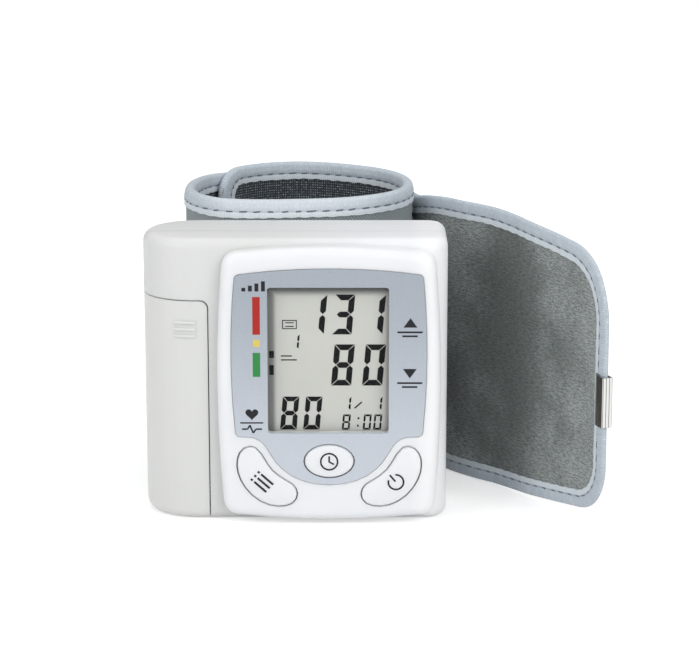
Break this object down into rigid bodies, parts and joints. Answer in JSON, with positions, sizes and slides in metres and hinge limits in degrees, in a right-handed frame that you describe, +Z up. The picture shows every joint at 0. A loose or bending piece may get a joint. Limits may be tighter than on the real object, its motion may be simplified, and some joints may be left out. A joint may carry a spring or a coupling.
{
  "type": "wrist blood pressure monitor",
  "caption": "Wrist blood pressure monitor: white moulded unit with a display and push keys, on a wrapped cloth cuff with a free closing end.",
  "frame": {"origin": "middle of the unit's width and depth, without its raised bezel, on its flat underside", "axes": "+Z up; the display faces -Y; +X to the right as seen from the front, towards the cuff's free end"},
  "size_m": [0.1159, 0.099, 0.0765],
  "materials": {
    "white_shell": "smooth satin white moulding",
    "cover_shell": "smooth satin off-white moulding",
    "silver_panel": "printed silver-blue panel",
    "clear_pane": "clear flat pane",
    "lcd": "reflective liquid crystal cell",
    "board": "green solder mask",
    "black_plastic": "plain black moulding",
    "dark_rubber": "dull dark rubber",
    "silicone": "translucent soft silicone",
    "steel": "plain steel",
    "nickel": "brushed nickel plate",
    "cell_jacket": "plain printed cell jacket",
    "face_cloth": "fine grey weave",
    "mesh_lining": "dark mesh weave",
    "loop_pile": "brushed loop pile",
    "binding_tape": "folded light blue-grey tape, stitched",
    "hook_tape": "grey hook tape",
    "foam": "thin foam"
  },
  "bodies": {
    "housing": {"front_shell": "white_shell", "rear_shell": "white_shell", "lcd_holder": "white_shell", "case_screw_1": "steel", "case_screw_2": "steel", "case_screw_3": "steel", "case_screw_4": "steel", "battery_spring_1": "steel", "battery_spring_2": "steel", "battery_contact_1": "steel", "battery_contact_2": "steel", "pump_motor": "steel", "exhaust_valve": "steel", "label_panel": "silver_panel", "display_window": "clear_pane", "lcd_panel": "lcd", "zebra_strip_top": "dark_rubber", "zebra_strip_bottom": "dark_rubber", "pump_sleeve": "dark_rubber", "cuff_bladder": "dark_rubber", "main_board": "board", "switch_memory": "black_plastic", "switch_setup": "black_plastic", "switch_power": "black_plastic", "buzzer": "black_plastic", "battery_holder": "black_plastic", "pump_head": "black_plastic", "pressure_sensor": "black_plastic", "cuff_stiffener": "black_plastic", "battery_1": "cell_jacket", "battery_2": "cell_jacket", "air_manifold": "silicone", "tube_pump": "silicone", "tube_valve": "silicone", "tube_sensor": "silicone", "cuff_nipple": "silicone", "cuff_lining": "mesh_lining", "cuff_padding": "foam", "cuff_outer_fabric": "face_cloth", "cuff_binding_top": "binding_tape", "cuff_binding_bottom": "binding_tape", "cuff_binding_end": "binding_tape", "hook_patch": "hook_tape"},
    "memory_key": {"memory_button": "white_shell", "plunger_memory": "black_plastic"},
    "setup_key": {"setup_button": "white_shell", "plunger_setup": "black_plastic"},
    "power_key": {"power_button": "white_shell", "plunger_power": "black_plastic"},
    "cover": {"battery_cover": "cover_shell"},
    "cuff_tail": {"tail_pile_lining": "loop_pile", "tail_core": "foam", "tail_outer_fabric": "face_cloth", "tail_binding": "binding_tape", "pull_ring": "nickel"},
    "crank": {"pump_crank": "steel"},
    "valve": {"valve_plunger": "steel"}
  },
  "joints": [
    {"name": "memory_press", "type": "slide", "parent": "housing", "child": "memory_key", "axis": [0, 1, 0], "range_m": [0, 0.0008], "stiffness_N_per_m": 800},
    {"name": "setup_press", "type": "slide", "parent": "housing", "child": "setup_key", "axis": [0, 1, 0], "range_m": [0, 0.0008], "stiffness_N_per_m": 800},
    {"name": "power_press", "type": "slide", "parent": "housing", "child": "power_key", "axis": [0, 1, 0], "range_m": [0, 0.0008], "stiffness_N_per_m": 800},
    {"name": "cover_slide", "type": "slide", "parent": "housing", "child": "cover", "axis": [0, 0, -1], "range_m": [0, 0.01]},
    {"name": "tail_fold", "type": "hinge", "parent": "housing", "child": "cuff_tail", "pos_m": [0.03236, 0.04663, 0], "axis": [0, 0, 1], "range_deg": [-12, 75]},
    {"name": "crank_turn", "type": "hinge", "parent": "housing", "child": "crank", "pos_m": [0.0264, 0.0024, 0.04], "axis": [0, 0, 1], "continuous": true},
    {"name": "valve_lift", "type": "slide", "parent": "housing", "child": "valve", "axis": [0, 0, 1], "range_m": [0, 0.001], "stiffness_N_per_m": 400}
  ]
}
